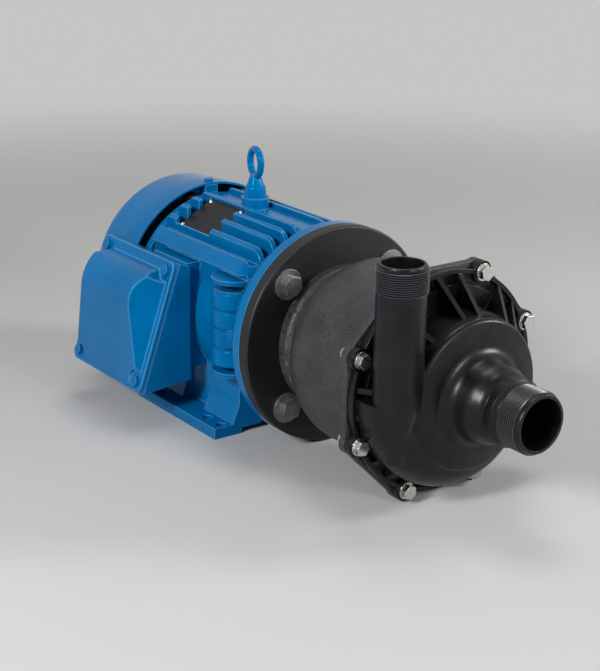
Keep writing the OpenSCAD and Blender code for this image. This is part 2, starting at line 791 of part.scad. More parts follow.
module drive_bearing_outer() {
  bearing_outer(drive_bearing_bore, drive_bearing_od, drive_seat_x0, drive_seat_x1);
}
module drive_bearing_inner() {
  bearing_inner(drive_bearing_bore, drive_bearing_od, drive_seat_x0, drive_seat_x1);
}
module drive_bearing_balls() {
  bearing_balls(drive_bearing_bore, drive_bearing_od, drive_seat_x0, drive_seat_x1);
}
module fan_bearing_outer() {
  bearing_outer(fan_bearing_bore, fan_bearing_od, fan_seat_x0, fan_seat_x1);
}
module fan_bearing_inner() {
  bearing_inner(fan_bearing_bore, fan_bearing_od, fan_seat_x0, fan_seat_x1);
}
module fan_bearing_balls() {
  bearing_balls(fan_bearing_bore, fan_bearing_od, fan_seat_x0, fan_seat_x1);
}

// Spring washer that loads the fan end bearing
module preload_spring() {
  r = fan_bearing_od / 2;
  color(bare_steel) ring_x(r - 0.5, r - 5, fan_seat_x0 - spring_t, fan_seat_x0);
}

// Cooling fan with straight blades, for either direction
module cooling_fan() {
  color("#3a3d40") difference() {
    union() {
      bar_x(fan_shaft_d / 2 + 8, fan_hub_x0, fan_hub_x1);
      turned([
        [fan_shaft_d / 2, fan_disc_x], [fan_d / 2, fan_disc_x - 6], [fan_d / 2, fan_disc_x - 3],
        [fan_shaft_d / 2 + 8, fan_disc_x + 4], [fan_shaft_d / 2, fan_disc_x + 4]
      ]);
      for (i = [0 : fan_blades - 1])
        rib(i * 360 / fan_blades, 3, [
          [fan_hub_x0 + 4, fan_shaft_d / 2 + 6], [fan_disc_x, fan_shaft_d / 2 + 6],
          [fan_disc_x - 5, fan_d / 2], [fan_hub_x0 - 8, fan_d / 2]
        ]);
    }
    bar_x(fan_shaft_d / 2, fan_hub_x0 - 12, fan_hub_x1 + small);
  }
}

// Fan cover: a drawn cup with a vented end
module cup_outline(r, x) {
  polygon(concat(
    [[0, fan_cover_x1], [r, fan_cover_x1], [r, fan_cover_x1 - cover_seat]],
    [[r - cover_taper, x + cover_round]],
    arc(r - cover_taper - cover_round, x + cover_round, cover_round, 0, -90),
    [[0, x]]
  ));
}

module fan_cover() {
  color(motor_blue) difference() {
    along_x(0) rotate_extrude() difference() {
      cup_outline(fan_rim_r, fan_cover_x0);
      translate([0, fan_cover_wall]) cup_outline(lug_r, fan_cover_x0);
    }
    for (r = [vent_pitch * 1.5 : vent_pitch : lug_r - cover_round - 2 * vent_pitch]) difference() {
      ring_x(r + vent_w / 2, r - vent_w / 2, fan_cover_x0 - small, fan_cover_x0 + fan_cover_wall + small);
      for (a = [0 : 45 : 315])
        rib(a, vent_bar, [
          [fan_cover_x0 - 2, 0], [fan_cover_x0 + 8, 0],
          [fan_cover_x0 + 8, fan_rim_r], [fan_cover_x0 - 2, fan_rim_r]
        ]);
    }
    for (a = cover_angles) radial_bar(a, cover_screw_x, cover_screw_d / 2 + fit, lug_r - 4, fan_rim_r + 2);
  }
}

module fan_cover_screws() {
  color(bare_steel) for (a = cover_angles) {
    radial_bar(a, cover_screw_x, cover_screw_d / 2, lug_r - 9, fan_rim_r + small);
    radial_bar(a, cover_screw_x, cover_screw_d, fan_rim_r, fan_rim_r + 3.5);
  }
}

// Lifting eye: a shank, a collar and a ring
module eyebolt() {
  color(motor_blue) translate([eye_x, 0, 0]) difference() {
    union() {
      translate([0, 0, eye_seat_z - eye_shank_len + 1]) cylinder(d = eye_shank_d, h = eye_shank_len);
      translate([0, 0, eye_seat_z]) rotate_extrude() polygon([
        [0, 0], [eye_collar_r, 0], [eye_collar_r - 1.5, eye_collar_h - 8],
        [eye_collar_r - 3.5, eye_collar_h - 5], [eye_ring_t * 0.8, eye_collar_h + 4], [0, eye_collar_h + 4]
      ]);
      translate([0, 0, eye_mid_z]) rotate([90, 0, eye_turn]) rotate_extrude()
        translate([(eye_bore_d + eye_ring_t) / 2, 0]) circle(d = eye_ring_t, $fn = 32);
    }
    translate([0, 0, eye_mid_z]) rotate([90, 0, eye_turn])
      cylinder(d = eye_bore_d, h = 4 * eye_ring_t, center = true);
  }
}

// Plain data plate on the fin tips, with its drive pins
module data_plate() {
  color("#2b2c2e") spoke(plate_angle)
    difference() {
      translate([plate_x0 + 0.5, plate_seat_r, plate_shift - plate_w / 2 + 0.5])
        cube([plate_len - 1, plate_t, plate_w - 1]);
      for (p = plate_corners())
        translate([p[0], plate_seat_r - small, p[1]]) rotate([-90, 0, 0])
          cylinder(d = pin_d + 2 * fit, h = plate_t + 2 * small);
    }
}

module plate_pins() {
  color(bare_steel) for (p = plate_corners()) spoke(plate_angle) {
    translate([p[0], plate_seat_r - 5.5, p[1]]) rotate([-90, 0, 0]) cylinder(d = pin_d, h = 6 + plate_t);
    translate([p[0], plate_seat_r + plate_t, p[1]]) rotate([-90, 0, 0])
      cylinder(d1 = pin_d + 2.5, d2 = pin_d, h = 1.4);
  }
}

// Terminal box: a wedge with a sloped rim, standing off the frame on its pad
function rim_point(e, out) = [
  -box_out + e * sin(box_slope) - out * cos(box_slope),
  box_rise + e * cos(box_slope) + out * sin(box_slope)
];

module box_wedge(inset, out) {
  slab_x(box_x0 + inset, box_x1 - inset, [
    rim_point(box_h / 2 - inset, out), [-pad_y - inset, rim_top[1] - 4 - inset],
    [-pad_y - inset, rim_low[1] + 5 + inset], rim_point(inset - box_h / 2, out)
  ]);
}

module saddle(r) bar_x(r, box_x0 - small, saddle_x + r - saddle_r);

module conduit_bar(r, end) {
  translate([conduit_x, conduit_y, shaft_h + rim_low[1] - 2 - end])
    cylinder(r = r, h = conduit_len + 2 * end);
}

// Puts the children on the sloped rim, their Z pointing outwards
module on_box() translate([box_x, -box_out, box_z]) rotate([90 - box_slope, 0, 0]) children();

// Puts the children at each corner screw of the cover
module at_cover_screws() {
  for (x = [-1, 1], y = [-1, 1])
    on_box() translate([x * (box_w / 2 - screw_inset), y * (box_h / 2 - screw_inset), 0]) children();
}

module terminal_box() {
  color(motor_blue) difference() {
    union() {
      box_wedge(0, 0);
      conduit_bar(conduit_boss_r, 0);
    }
    difference() {
      box_wedge(box_wall, 2);
      saddle(saddle_r + box_wall);
      at_cover_screws() translate([0, 0, -post_len]) cylinder(r = post_r, h = 2 * post_len);
      conduit_bar(conduit_boss_r, 0);
    }
    saddle(saddle_r);
    at_cover_screws() translate([0, 0, -cover_screw_len])
      cylinder(d = cover_screw_size + 2 * fit, h = cover_screw_len + small);
    translate([lead_x, -pad_y - box_wall - small, shaft_h]) rotate([-90, 0, 0])
      cylinder(r = lead_hole_r, h = box_wall + 2 * small);
    for (p = pad_screws())
      translate([p[0], -pad_y - box_wall - small, p[1]]) rotate([-90, 0, 0])
        cylinder(d = box_screw_d + 2 * fit, h = box_wall + 12 + small);
    conduit_bar(conduit_d / 2, small);
  }
}

module box_screws() {
  color(bare_steel) for (p = pad_screws()) translate([p[0], -pad_y - box_wall, p[1]]) rotate([90, 0, 0]) {
    cylinder(d = 13 / cos(30), h = 5.3, $fn = 6);
    translate([0, 0, -box_wall - 11]) cylinder(d = box_screw_d, h = box_wall + 12);
  }
}

module box_gasket() {
  color("#202224") difference() {
    on_box() rounded_plate(box_w, box_h, rim_round, gasket_t);
    on_box() translate([0, 0, -small])
      rounded_plate(box_w - 2 * gasket_w, box_h - 2 * gasket_w, rim_round, gasket_t + 2 * small);
    at_cover_screws() translate([0, 0, -small]) cylinder(d = cover_screw_size + 1, h = gasket_t + 2 * small);
  }
}

// Hood of the cover: an upright face on the sloped rim, with scooped corners at the screws
module hood(inset) {
  intersection() {
    slab_x(box_x0 - small, box_x1 + small, concat(
      [[rim_top[0] + 30, hood_top - inset]],
      arc(-hood_out + hood_round, hood_top - hood_round, hood_round - inset, 90, 180),
      [[-hood_out + inset, hood_foot + inset], [rim_low[0] + 30, hood_foot + inset]]
    ));
    on_box() hull($fn = 32) {
      rounded_plate(box_w - 6 - 2 * inset, box_h - 6 - 2 * inset, rim_round, small);
      translate([0, 0, hood_reach])
        rounded_plate(box_w - 6 - 2 * hood_draft - 2 * inset, box_h - 12 - 2 * inset, rim_round, small);
    }
  }
}

module box_cover() {
  color(motor_blue) difference() {
    union() {
      on_box() translate([0, 0, gasket_t]) rounded_plate(box_w, box_h, rim_round, cover_rim_t);
      difference() {
        hood(0);
        at_cover_screws() translate([0, 0, gasket_t + cover_rim_t - small])
          cylinder(r = scoop_r, h = hood_reach);
      }
    }
    difference() {
      hood(hood_wall);
      at_cover_screws() translate([0, 0, -small]) cylinder(r = scoop_r + hood_wall, h = hood_reach);
    }
    on_box() translate([-box_w, -box_h, gasket_t - 60]) cube([2 * box_w, 2 * box_h, 60]);
    at_cover_screws() cylinder(d = cover_screw_size + 1, h = 60);
  }
}

module cover_screws() {
  color(bare_steel) at_cover_screws() {
    translate([0, 0, 1 - cover_screw_len])
      cylinder(d = cover_screw_size, h = cover_screw_len + gasket_t + cover_rim_t);
    translate([0, 0, gasket_t + cover_rim_t]) cylinder(r = 5.5, h = 4);
  }
}

// Adapter plate between the motor face and the drive bracket
module adapter_plate() {
  color(satin_black) difference() {
    turned([
      [bracket_bore_r, face_x], [face_d / 2, face_x], [face_d / 2, adapter_x1 - 1.5],
      [face_d / 2 - 1.5, adapter_x1], [bracket_bore_r, adapter_x1]
    ]);
    bar_x(pilot_d / 2 + fit, face_x - small, recess_x);
    for (a = face_angles)
      bar_at(a, face_circle_d / 2, face_bolt_d / 2 + 0.6, face_x - small, adapter_x1 + small);
    for (a = bracket_angles) {
      bar_at(a, bracket_screw_r, bracket_screw_d / 2 + fit, face_x, adapter_x1 + small);
      bar_at(a, bracket_screw_r, bracket_screw_d, face_x, recess_x + sunk_head_h);
    }
  }
}

module face_washers() {
  color("#4a4b4c") for (a = face_angles) difference() {
    bar_at(a, face_circle_d / 2, face_bolt_d * 1.24, adapter_x1, adapter_x1 + 2.7);
    bar_at(a, face_circle_d / 2, face_bolt_d / 2 + 0.4, adapter_x1 - small, adapter_x1 + 4);
  }
}

module face_bolts() {
  head_x = adapter_x1 + 2.7;
  color("#4a4b4c") for (a = face_angles) {
    hex_at(a, face_circle_d / 2, face_bolt_d * 1.5, head_x, head_x + face_bolt_d * 0.65);
    bar_at(a, face_circle_d / 2, face_bolt_d / 2, pilot_x - face_hole_len + 2, head_x + small);
  }
}

// Sunk screws that hold the bracket on the adapter plate
module bracket_screws() {
  color(bare_steel) for (a = bracket_angles) {
    bar_at(a, bracket_screw_r, bracket_screw_d - 0.3, recess_x + 0.1, recess_x + sunk_head_h);
    bar_at(a, bracket_screw_r, bracket_screw_d / 2, recess_x + small, adapter_x1 + bracket_screw_len - small);
  }
}

// Drive bracket: a flared barrel from the adapter plate to the casing flange
// Outline of the swelling behind the bracket's ring, from the ring to the barrel
function bell_line(x) = [
  for (a = [0 : 15 : 90]) [barrel_d / 2 + (bell_r - barrel_d / 2) * sin(a), x + bell_len * a / 90]
];
module drive_bracket() {
  ring_r = bracket_ring_d / 2;
  ring_x1 = adapter_x1 + ring_len;
  color(moulded_black) difference() {
    union() {
      turned(concat([
        [0, adapter_x1], [ring_r - 1, adapter_x1], [ring_r, adapter_x1 + 1], [ring_r, ring_x1 - 3],
        [ring_r - 2, ring_x1]
      ], bell_line(ring_x1 + 1), [[barrel_flange_d / 2, flange_x0], [0, flange_x0]]));
      octagon_x(flange_apothem, flange_x0, joint_x);
      casing_lugs(flange_x0, joint_x);
    }
    turned([
      [0, adapter_x1 - small], [bracket_bore_r, adapter_x1 - small], [bracket_bore_r, ring_x1 + 4],
      [bell_r - barrel_wall, ring_x1 + bell_len], [bracket_seat_r, flange_x0 - 4],
      [bracket_seat_r, joint_x - rear_flange_t], [rear_flange_r + fit, joint_x - rear_flange_t],
      [rear_flange_r + fit, joint_x + small], [0, joint_x + small]
    ]);
    for (a = casing_angles) bar_at(a, casing_r, casing_bolt_d / 2 + 0.5, flange_x0 - small, joint_x + small);
    for (a = bracket_angles)
      bar_at(a, bracket_screw_r, bracket_screw_d / 2 + fit, adapter_x1 - small,
        adapter_x1 + bracket_screw_len);
  }
}

// Outer drive: a hub on the motor shaft that carries the outer magnets in a cup
module outer_drive() {
  color("#5d6166") difference() {
    union() {
      bar_x(hub_r, hub_x0, shaft_x1);
      bar_x(cup_r, web_x0, cup_x1);
    }
    bar_x(outer_magnet_r1 + fit, shaft_x1, cup_x1 + small);
    bar_x(shaft_end_d / 2 + fit, hub_x0 - small, shaft_x1 + small);
    translate([hub_x0 - small, -key_w / 2 - fit, shaft_h])
      cube([shaft_x1 - hub_x0 + 2 * small, key_w + 2 * fit, shaft_end_d / 2 + key_w / 2 + fit]);
    for (a = set_screw_angles) radial_bar(a, set_screw_x, set_screw_d / 2 + fit, 0, hub_r + small);
  }
}

module outer_magnets() {
  color("#3c3f44") for (i = [0 : magnets - 1])
    ring_sector(i * 360 / magnets, i * 360 / magnets + magnet_arc, outer_magnet_r1, outer_magnet_r0,
      magnet_x0, magnet_x1);
}

module hub_set_screws() {
  color(bare_steel) for (a = set_screw_angles)
    radial_bar(a, set_screw_x, set_screw_d / 2, shaft_end_d / 2 + 2 * fit, hub_r - 1);
}

// Rear casing: a can that seals the wet end between the magnets
module rear_casing() {
  socket_r = pump_shaft_d / 2 + 6;
  color(moulded_black) turned([
    [0, can_x0], [can_r - 3, can_x0], [can_r, can_x0 + 3], [can_r, joint_x - rear_flange_t - 4],
    [can_r + 4, joint_x - rear_flange_t], [rear_flange_r, joint_x - rear_flange_t], [rear_flange_r, joint_x],
    [chamber_r - fit, joint_x], [chamber_r - fit, plug_x], [can_bore_r + 2, plug_x], [can_bore_r, plug_x - 2],
    [can_bore_r, can_x0 + can_end_t], [socket_r, can_x0 + can_end_t], [socket_r, socket_x1],
    [pump_shaft_d / 2 + fit, socket_x1], [pump_shaft_d / 2 + fit, pump_shaft_x0 - float_gap],
    [0, pump_shaft_x0 - float_gap]
  ]);
}

module casing_o_ring() {
  color("#17181a") along_x(joint_x + o_ring_t / 2) rotate_extrude()
    translate([o_ring_r, 0]) circle(d = o_ring_t - 2 * fit, $fn = 32);
}

// Fixed pump shaft with a thrust ring at each end
module pump_shaft() {
  color("#e4e0d6") bar_x(pump_shaft_d / 2, pump_shaft_x0, pump_shaft_x1);
}

module rear_thrust_ring() {
  color("#e4e0d6") ring_x(thrust_r, pump_shaft_d / 2 + fit, socket_x1, socket_x1 + thrust_t);
}

module front_thrust_ring() {
  color("#e4e0d6") ring_x(thrust_r, pump_shaft_d / 2 + fit, front_thrust_x, front_thrust_x + thrust_t);
}

// Rotating wet end: bushing, magnet capsule and impeller
module pump_bushing() {
  color("#34363a") ring_x(bush_r, pump_shaft_d / 2 + running, bush_x0, bush_x1);
}

module inner_drive() {
  color(moulded_black) difference() {
    turned([
      [bush_r, inner_x0], [inner_r - 2, inner_x0], [inner_r, inner_x0 + 2], [inner_r, inner_x1 - 4],
      [inner_r - 6, inner_x1], [inner_r - 10, shroud_x], [bush_r, shroud_x]
    ]);
    ring_x(inner_r - shell_t, inner_magnet_r0 - fit, magnet_x0 - fit, magnet_x1 + fit);
  }
}

module inner_magnets() {
  color("#3c3f44") for (i = [0 : magnets - 1])
    ring_sector(i * 360 / magnets, i * 360 / magnets + magnet_arc, inner_r - shell_t - fit, inner_magnet_r0,
      magnet_x0, magnet_x1);
}

// A vane that curves back as it runs outwards
module vane(a) {
  vane_r = impeller_d * 0.36;
  along_x(passage_x0 - small) rotate([0, 0, a]) difference() {
    translate([0, vane_r * 0.92, 0]) cylinder(r = vane_r, h = impeller_gap + 2 * small);
    translate([0, vane_r * 0.92, -small]) cylinder(r = vane_r - 3.5, h = impeller_gap + 4 * small);
    translate([-2 * vane_r, -vane_r, -small]) cube([2 * vane_r, 4 * vane_r, impeller_gap + 4 * small]);
  }
}

module impeller() {
  r = impeller_d / 2;
  color(moulded_black) {
    turned([
      [bush_r, shroud_x], [r, shroud_x], [r, passage_x0],
      [nose_r + 8, passage_x0 + 1], [nose_r + 2, passage_x0 + 5],
      [nose_r, bush_x1 - 8], [nose_r - 2, bush_x1], [bush_r, bush_x1]
    ]);
    turned([
      [eye_r + 4, passage_x1], [r, passage_x1], [r, passage_x1 + shroud_t],
      [eye_r + shroud_t + 3, passage_x1 + shroud_t + 1], [eye_r + shroud_t, chamber_x1],
      [eye_r + shroud_t, eye_x1], [eye_r, eye_x1], [eye_r, passage_x1 + 4]
    ]);
    intersection() {
      for (i = [0 : vane_count - 1]) vane(i * 360 / vane_count);
      ring_x(r - small / 2, eye_r - 2, passage_x0 - small, passage_x1 + small);
    }
  }
}

// Ring in the casing that the impeller's eye runs in
module mouth_ring() {
  r = eye_r + shroud_t + float_gap;
  color("#e4e0d6") ring_x(r + mouth_t, r, chamber_x1 + 2, scroll_x1);
}

// Volute: a scroll of four arcs, drawn tangent to each other, with its discharge and suction
module scroll(inset, x0, x1, edge) {
  for (i = [0 : 3]) {
    r = scroll_r + i * scroll_growth - inset;
    translate([0, scroll_centres[i][0], scroll_centres[i][1]]) along_x(0) rotate([0, 0, 180 - 90 * i])
      rotate_extrude(angle = 90)
        polygon(concat([[0, x0], [r, x0]], arc(r - edge, x1 - edge, edge, 0, 90), [[0, x1]]));
  }
}

module casing_ribs() {
  for (side = [0 : 45 : 315], s = [-1, 1])
    rib(side + s * rib_spread, rib_t, [
      [flange_plate_x - small, dome_r - 12], [flange_plate_x - small, rim_r - lip_w + small],
      [lip_x - small, rim_r - lip_w + small], [scroll_x1 - ridge_round, dome_r - 4],
      [scroll_x1 - ridge_round, dome_r - 12]
    ]);
}

module suction_outside() {
  turned(concat(
    [[0, flange_plate_x], [dome_r, flange_plate_x]],
    arc(dome_r - ridge_round, ridge_x - ridge_round, ridge_round, 0, 70, 6),
    arc(shoulder_r + neck_round, neck_x0, neck_round, -80, -172),
    [
      [shoulder_r - 1.5, (neck_x0 + neck_x1) / 2], [neck_r + 1, neck_x1 - 3], [neck_r, neck_x1],
      [neck_r - 3, neck_x1 + 3], [neck_r - 3, neck_x1 + 5], [neck_r - 1.2, neck_x1 + 6.5],
      [neck_r - 1.2, thread_x0 - 4], [suction_thread_d / 2, thread_x0 - 2], [suction_root_r, thread_x0],
      [suction_root_r, suction_x - rim_chamfer], [suction_root_r - rim_chamfer * 0.6, suction_x],
      [0, suction_x]
    ]
  ));
}

module discharge_outside() {
  translate([tube_x, tube_y, 0]) {
    translate([0, 0, tube_foot_z - tube_fade]) cylinder(r1 = tube_r * 0.45, r2 = tube_r, h = tube_fade);
    translate([0, 0, tube_foot_z]) cylinder(r = tube_r, h = discharge_z - thread_len - 3 - tube_foot_z);
    translate([0, 0, discharge_z - thread_len - 3]) cylinder(r1 = tube_r, r2 = discharge_root_r, h = 3);
    translate([0, 0, discharge_z - thread_len - 1])
      cylinder(r = discharge_root_r, h = thread_len + 1 - rim_chamfer);
    translate([0, 0, discharge_z - rim_chamfer])
      cylinder(r1 = discharge_root_r, r2 = discharge_root_r - rim_chamfer * 0.6, h = rim_chamfer);
  }
}

module casing_outside() {
  bar_x(rim_r - small, joint_x, flange_plate_x);
  ring_x(rim_r, rim_r - lip_w, joint_x, lip_x);
  casing_lugs(joint_x, lip_x);
  bar_x(step_r, joint_x, lip_x + small);
  casing_ribs();
  scroll(0, joint_x + small, scroll_x1, scroll_edge);
  suction_outside();
  discharge_outside();
}

module casing_inside() {
  bar_x(chamber_r, joint_x - small, chamber_x1);
  scroll(scroll_wall, plug_x, chamber_x1, scroll_edge / 2);
  bar_x(suction_bore_d / 2, chamber_x1 - small, suction_x + small);
  bar_x(eye_r + shroud_t + float_gap + mouth_t + fit, chamber_x1 - small, scroll_x1);
  bar_x(eye_r + shroud_t + float_gap, chamber_x1 - small, eye_x1 + 2);
  translate([tube_x, tube_y, tube_foot_z]) {
    sphere(d = discharge_bore_d);
    cylinder(d = discharge_bore_d, h = discharge_z);
  }
  ring_x(o_ring_r + o_ring_t / 2, o_ring_r - o_ring_t / 2, joint_x - small, joint_x + o_ring_t);
  for (a = casing_angles) {
    bar_at(a, casing_r, casing_bolt_d / 2 + 0.5, joint_x - small, lip_x + small);
    bar_at(a, casing_r, spot_r, lip_x, lip_x + washer_t + casing_head_h + small);
  }
}

// Three-armed support of the pump shaft, in the suction
module spider() {
  difference() {
    union() {
      turned([
        [0, spider_x0], [spider_r, spider_x0], [spider_r, spider_x1 - 8], [3, spider_x1], [0, spider_x1]
      ]);
      for (a = [60 : 120 : 300])
        rib(a, 5, [
          [spider_x0 + 2, 0], [spider_x0 + 2, suction_bore_d / 2 + small],
          [spider_x1 - 10, suction_bore_d / 2 + small], [spider_x1 - 4, 0]
        ]);
    }
    bar_x(pump_shaft_d / 2 + fit, spider_x0 - small, pump_shaft_x1 + fit);
  }
}

module volute() {
  color(moulded_black) {
    difference() {
      casing_outside();
      casing_inside();
    }
    spider();
  }
}

// Casing bolts with washers in front and nuts behind
module casing_washers() {
  color("#b8bcc0") for (a = casing_angles) difference() {
    bar_at(a, casing_r, casing_bolt_d + 0.5, lip_x, lip_x + washer_t);
    bar_at(a, casing_r, casing_bolt_d / 2 + 0.3, lip_x - small, lip_x + washer_t + small);
  }
}

module casing_bolts() {
  head_x = lip_x + washer_t;
  color("#b8bcc0") for (a = casing_angles) {
    hex_at(a, casing_r, casing_bolt_d * 1.625, head_x, head_x + casing_head_h);
    bar_at(a, casing_r, casing_bolt_d / 2, flange_x0 - casing_bolt_d - 2, head_x + small);
  }
}

module casing_nuts() {
  color("#b8bcc0") for (a = casing_angles) difference() {
    hex_at(a, casing_r, casing_bolt_d * 1.625, flange_x0 - casing_bolt_d * 0.8, flange_x0);
    bar_at(a, casing_r, casing_bolt_d / 2 + fit, flange_x0 - casing_bolt_d, flange_x0 + small);
  }
}

motor_frame();
front_end_shield();
rear_end_shield();
front_shield_screws();
rear_shield_screws();
stator_core();
stator_windings();
motor_shaft();
rotor_core();
rotor_end_rings();
shaft_key();
drive_bearing_outer();
drive_bearing_inner();
drive_bearing_balls();
fan_bearing_outer();
fan_bearing_inner();
fan_bearing_balls();
preload_spring();
cooling_fan();
fan_cover();
fan_cover_screws();
eyebolt();
data_plate();
plate_pins();
terminal_box();
box_screws();
box_gasket();
box_cover();
cover_screws();
adapter_plate();
face_bolts();
face_washers();
bracket_screws();
drive_bracket();
outer_drive();
outer_magnets();
hub_set_screws();
rear_casing();
casing_o_ring();
pump_shaft();
rear_thrust_ring();
front_thrust_ring();
pump_bushing();
inner_drive();
inner_magnets();
impeller();
mouth_ring();
volute();
casing_bolts();
casing_washers();
casing_nuts();
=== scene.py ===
import json
import math

import bpy
from mathutils import Matrix, Vector


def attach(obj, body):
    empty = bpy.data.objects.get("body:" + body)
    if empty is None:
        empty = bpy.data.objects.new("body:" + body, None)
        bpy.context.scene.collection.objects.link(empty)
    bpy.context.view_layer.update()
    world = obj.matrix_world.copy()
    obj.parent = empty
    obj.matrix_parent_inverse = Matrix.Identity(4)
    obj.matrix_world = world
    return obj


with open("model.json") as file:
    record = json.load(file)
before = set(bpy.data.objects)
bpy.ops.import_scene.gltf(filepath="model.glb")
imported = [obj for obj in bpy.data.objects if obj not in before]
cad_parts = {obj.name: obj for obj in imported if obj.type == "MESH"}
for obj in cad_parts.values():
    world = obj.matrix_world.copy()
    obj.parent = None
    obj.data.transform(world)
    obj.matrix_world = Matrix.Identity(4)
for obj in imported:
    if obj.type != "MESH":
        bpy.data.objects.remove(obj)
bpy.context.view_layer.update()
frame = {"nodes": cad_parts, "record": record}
nodes = frame["nodes"]
scene = bpy.context.scene
# Metres in a millimetre
MM = 0.001
# Height of the shaft line in mm
SHAFT_Z = 114.3


def linear(code):
    """An sRGB hex colour as linear red, green, blue and alpha."""
    parts = [int(code[i : i + 2], 16) / 255 for i in (1, 3, 5)]
    return [p / 12.92 if p <= 0.04045 else ((p + 0.055) / 1.055) ** 2.4 for p in parts] + [1.0]


def add(tree, kind, values=None, **links):
    """Adds a shader node, sets its socket values and joins its inputs to other nodes' outputs."""
    new = tree.nodes.new(kind)
    for name, value in (values or {}).items():
        new.inputs[name].default_value = value
    for name, source in links.items():
        tree.links.new(source, new.inputs[name.replace("_", " ")])
    return new


# The part of a noise texture's range over which the shade drifts, and over which the roughness does
SHADE_SPAN = (0.36, 0.64)
ROUGH_SPAN = (0.35, 0.65)
# The grain's usual share in the shade
USUAL_SPECK = 0.25
# Scale of a wave texture with one wave to the millimetre
WAVES_PER_MM = 100 * math.pi
# Rays that feel out a rounded corner
CORNER_RAYS = 6
# Cosine of the lean of a corner's normal where the painted highlight on it starts and where it is full, and
# the share that this painted highlight then has
LEAN_START, LEAN_FULL, PAINTED_HIGHLIGHT_SHARE = 0.99, 0.72, 0.8


def surface(name, low, high, rough, grain, depth, patch=40.0, metal=0.0, level=0.5, **more):
    """A material from two shades that drift in patches, over a fine grain. All sizes are in mm.

    more may give stretch (grain drawn out along one way), speck (the grain's share in the shade),
    feed (pitch and depth of turning marks round the shaft line), edge (radius that softens corners),
    rim (a paler shade painted on those corners as a highlight) and sheen (the colour
    of what it reflects).
    """
    made = bpy.data.materials.new(name)
    made.use_nodes = True
    tree = made.node_tree
    tree.nodes.clear()
    place = add(tree, "ShaderNodeTexCoord").outputs["Object"]
    grain_place = place
    if "stretch" in more:
        drawn_out = add(tree, "ShaderNodeMapping", {"Scale": more["stretch"]}, Vector=place)
        grain_place = drawn_out.outputs["Vector"]
    fine = add(
        tree,
        "ShaderNodeTexNoise",
        {"Scale": 1 / (grain * MM), "Detail": 2.0, "Roughness": 0.5},
        Vector=grain_place,
    )
    broad = add(
        tree,
        "ShaderNodeTexNoise",
        {"Scale": 1 / (patch * MM), "Detail": 4.0, "Roughness": 0.55},
        Vector=place,
    )
    speck = more.get("speck", USUAL_SPECK)
    mixed = add(tree, "ShaderNodeMath", {1: 1 - speck}, Value=broad.outputs["Fac"])
    mixed.operation = "MULTIPLY"
    tone = add(tree, "ShaderNodeMath", {1: speck}, Value=fine.outputs["Fac"])
    tone.operation = "MULTIPLY_ADD"
    tree.links.new(mixed.outputs[0], tone.inputs[2])
    ramp = add(tree, "ShaderNodeValToRGB", Fac=tone.outputs[0])
    for stop, position, code in zip(ramp.color_ramp.elements, SHADE_SPAN, (low, high)):
        stop.position = position
        stop.color = linear(code)
    gloss = add(
        tree,
        "ShaderNodeMapRange",
        {"From Min": ROUGH_SPAN[0], "From Max": ROUGH_SPAN[1], "To Min": rough[0], "To Max": rough[1]},
        Value=tone.outputs[0],
    )
    bump = add(tree, "ShaderNodeBump", {"Strength": 1.0, "Distance": depth * MM}, Height=fine.outputs["Fac"])
    lowest = bump
    if "feed" in more:
        pitch, height = more["feed"]
        centred = add(tree, "ShaderNodeMapping", {"Location": (0, 0, -SHAFT_Z * MM)}, Vector=place)
        marks = add(
            tree,
            "ShaderNodeTexWave",
            {"Scale": WAVES_PER_MM / pitch, "Distortion": 0.6},
            Vector=centred.outputs["Vector"],
        )
        marks.wave_type = "RINGS"
        marks.rings_direction = "X"
        lowest = add(tree, "ShaderNodeBump", {"Distance": height * MM}, Height=marks.outputs["Fac"])
        tree.links.new(lowest.outputs["Normal"], bump.inputs["Normal"])
    if "edge" in more:
        corner = add(tree, "ShaderNodeBevel", {"Radius": more["edge"] * MM})
        corner.samples = CORNER_RAYS
        tree.links.new(corner.outputs["Normal"], lowest.inputs["Normal"])
    shade = ramp.outputs["Color"]
    # A paler shade painted on rounded corners, where the normal leans: a painted highlight
    if "rim" in more:
        lean = add(tree, "ShaderNodeVectorMath", Vector=corner.outputs["Normal"])
        lean.operation = "DOT_PRODUCT"
        tree.links.new(add(tree, "ShaderNodeNewGeometry").outputs["Normal"], lean.inputs[1])
        share = add(
            tree,
            "ShaderNodeMapRange",
            {"From Min": LEAN_START, "From Max": LEAN_FULL, "To Max": PAINTED_HIGHLIGHT_SHARE},
            Value=lean.outputs["Value"],
        )
        drawn = add(tree, "ShaderNodeMix", Factor=share.outputs["Result"])
        drawn.data_type = "RGBA"
        tree.links.new(shade, drawn.inputs["A"])
        drawn.inputs["B"].default_value = linear(more["rim"])
        shade = drawn.outputs["Result"]
    sheen = linear(more.get("sheen", "#ffffff"))
    shader = add(
        tree,
        "ShaderNodeBsdfPrincipled",
        {"Metallic": metal, "Specular IOR Level": level, "Specular Tint": sheen},
        Base_Color=shade,
        Roughness=gloss.outputs["Result"],
        Normal=bump.outputs["Normal"],
    )
    add(tree, "ShaderNodeOutputMaterial", Surface=shader.outputs["BSDF"])
    return made


# What all coats of the blue enamel share: a painted highlight on rounded corners and blue reflections
ENAMEL = {"level": 0.4, "rim": "#68b4e4", "sheen": "#1c9ae4"}
# Sprayed gloss enamel over a sand casting: sand grain breaks up the highlights, and the corners carry a
# painted highlight.
# The grain is drawn at 1.6 mm, coarser than the sand, so that it shows.
enamel_cast = surface(
    "sprayed blue enamel on sand-cast iron", "#005c91", "#006ca8", (0.1, 0.2), 1.6, 0.14, 70.0,
    edge=1.8, speck=0.4, **ENAMEL,
)
# The same enamel on the cover of the terminal box, with rounder corners and a grainier skin. This grain
# too is drawn coarser than the sand, so that it shows.
enamel_cover = surface(
    "sprayed blue enamel on the cast cover", "#005c91", "#006ca8", (0.1, 0.2), 1.9, 0.2, 70.0,
    edge=4.0, speck=0.5, **ENAMEL,
)
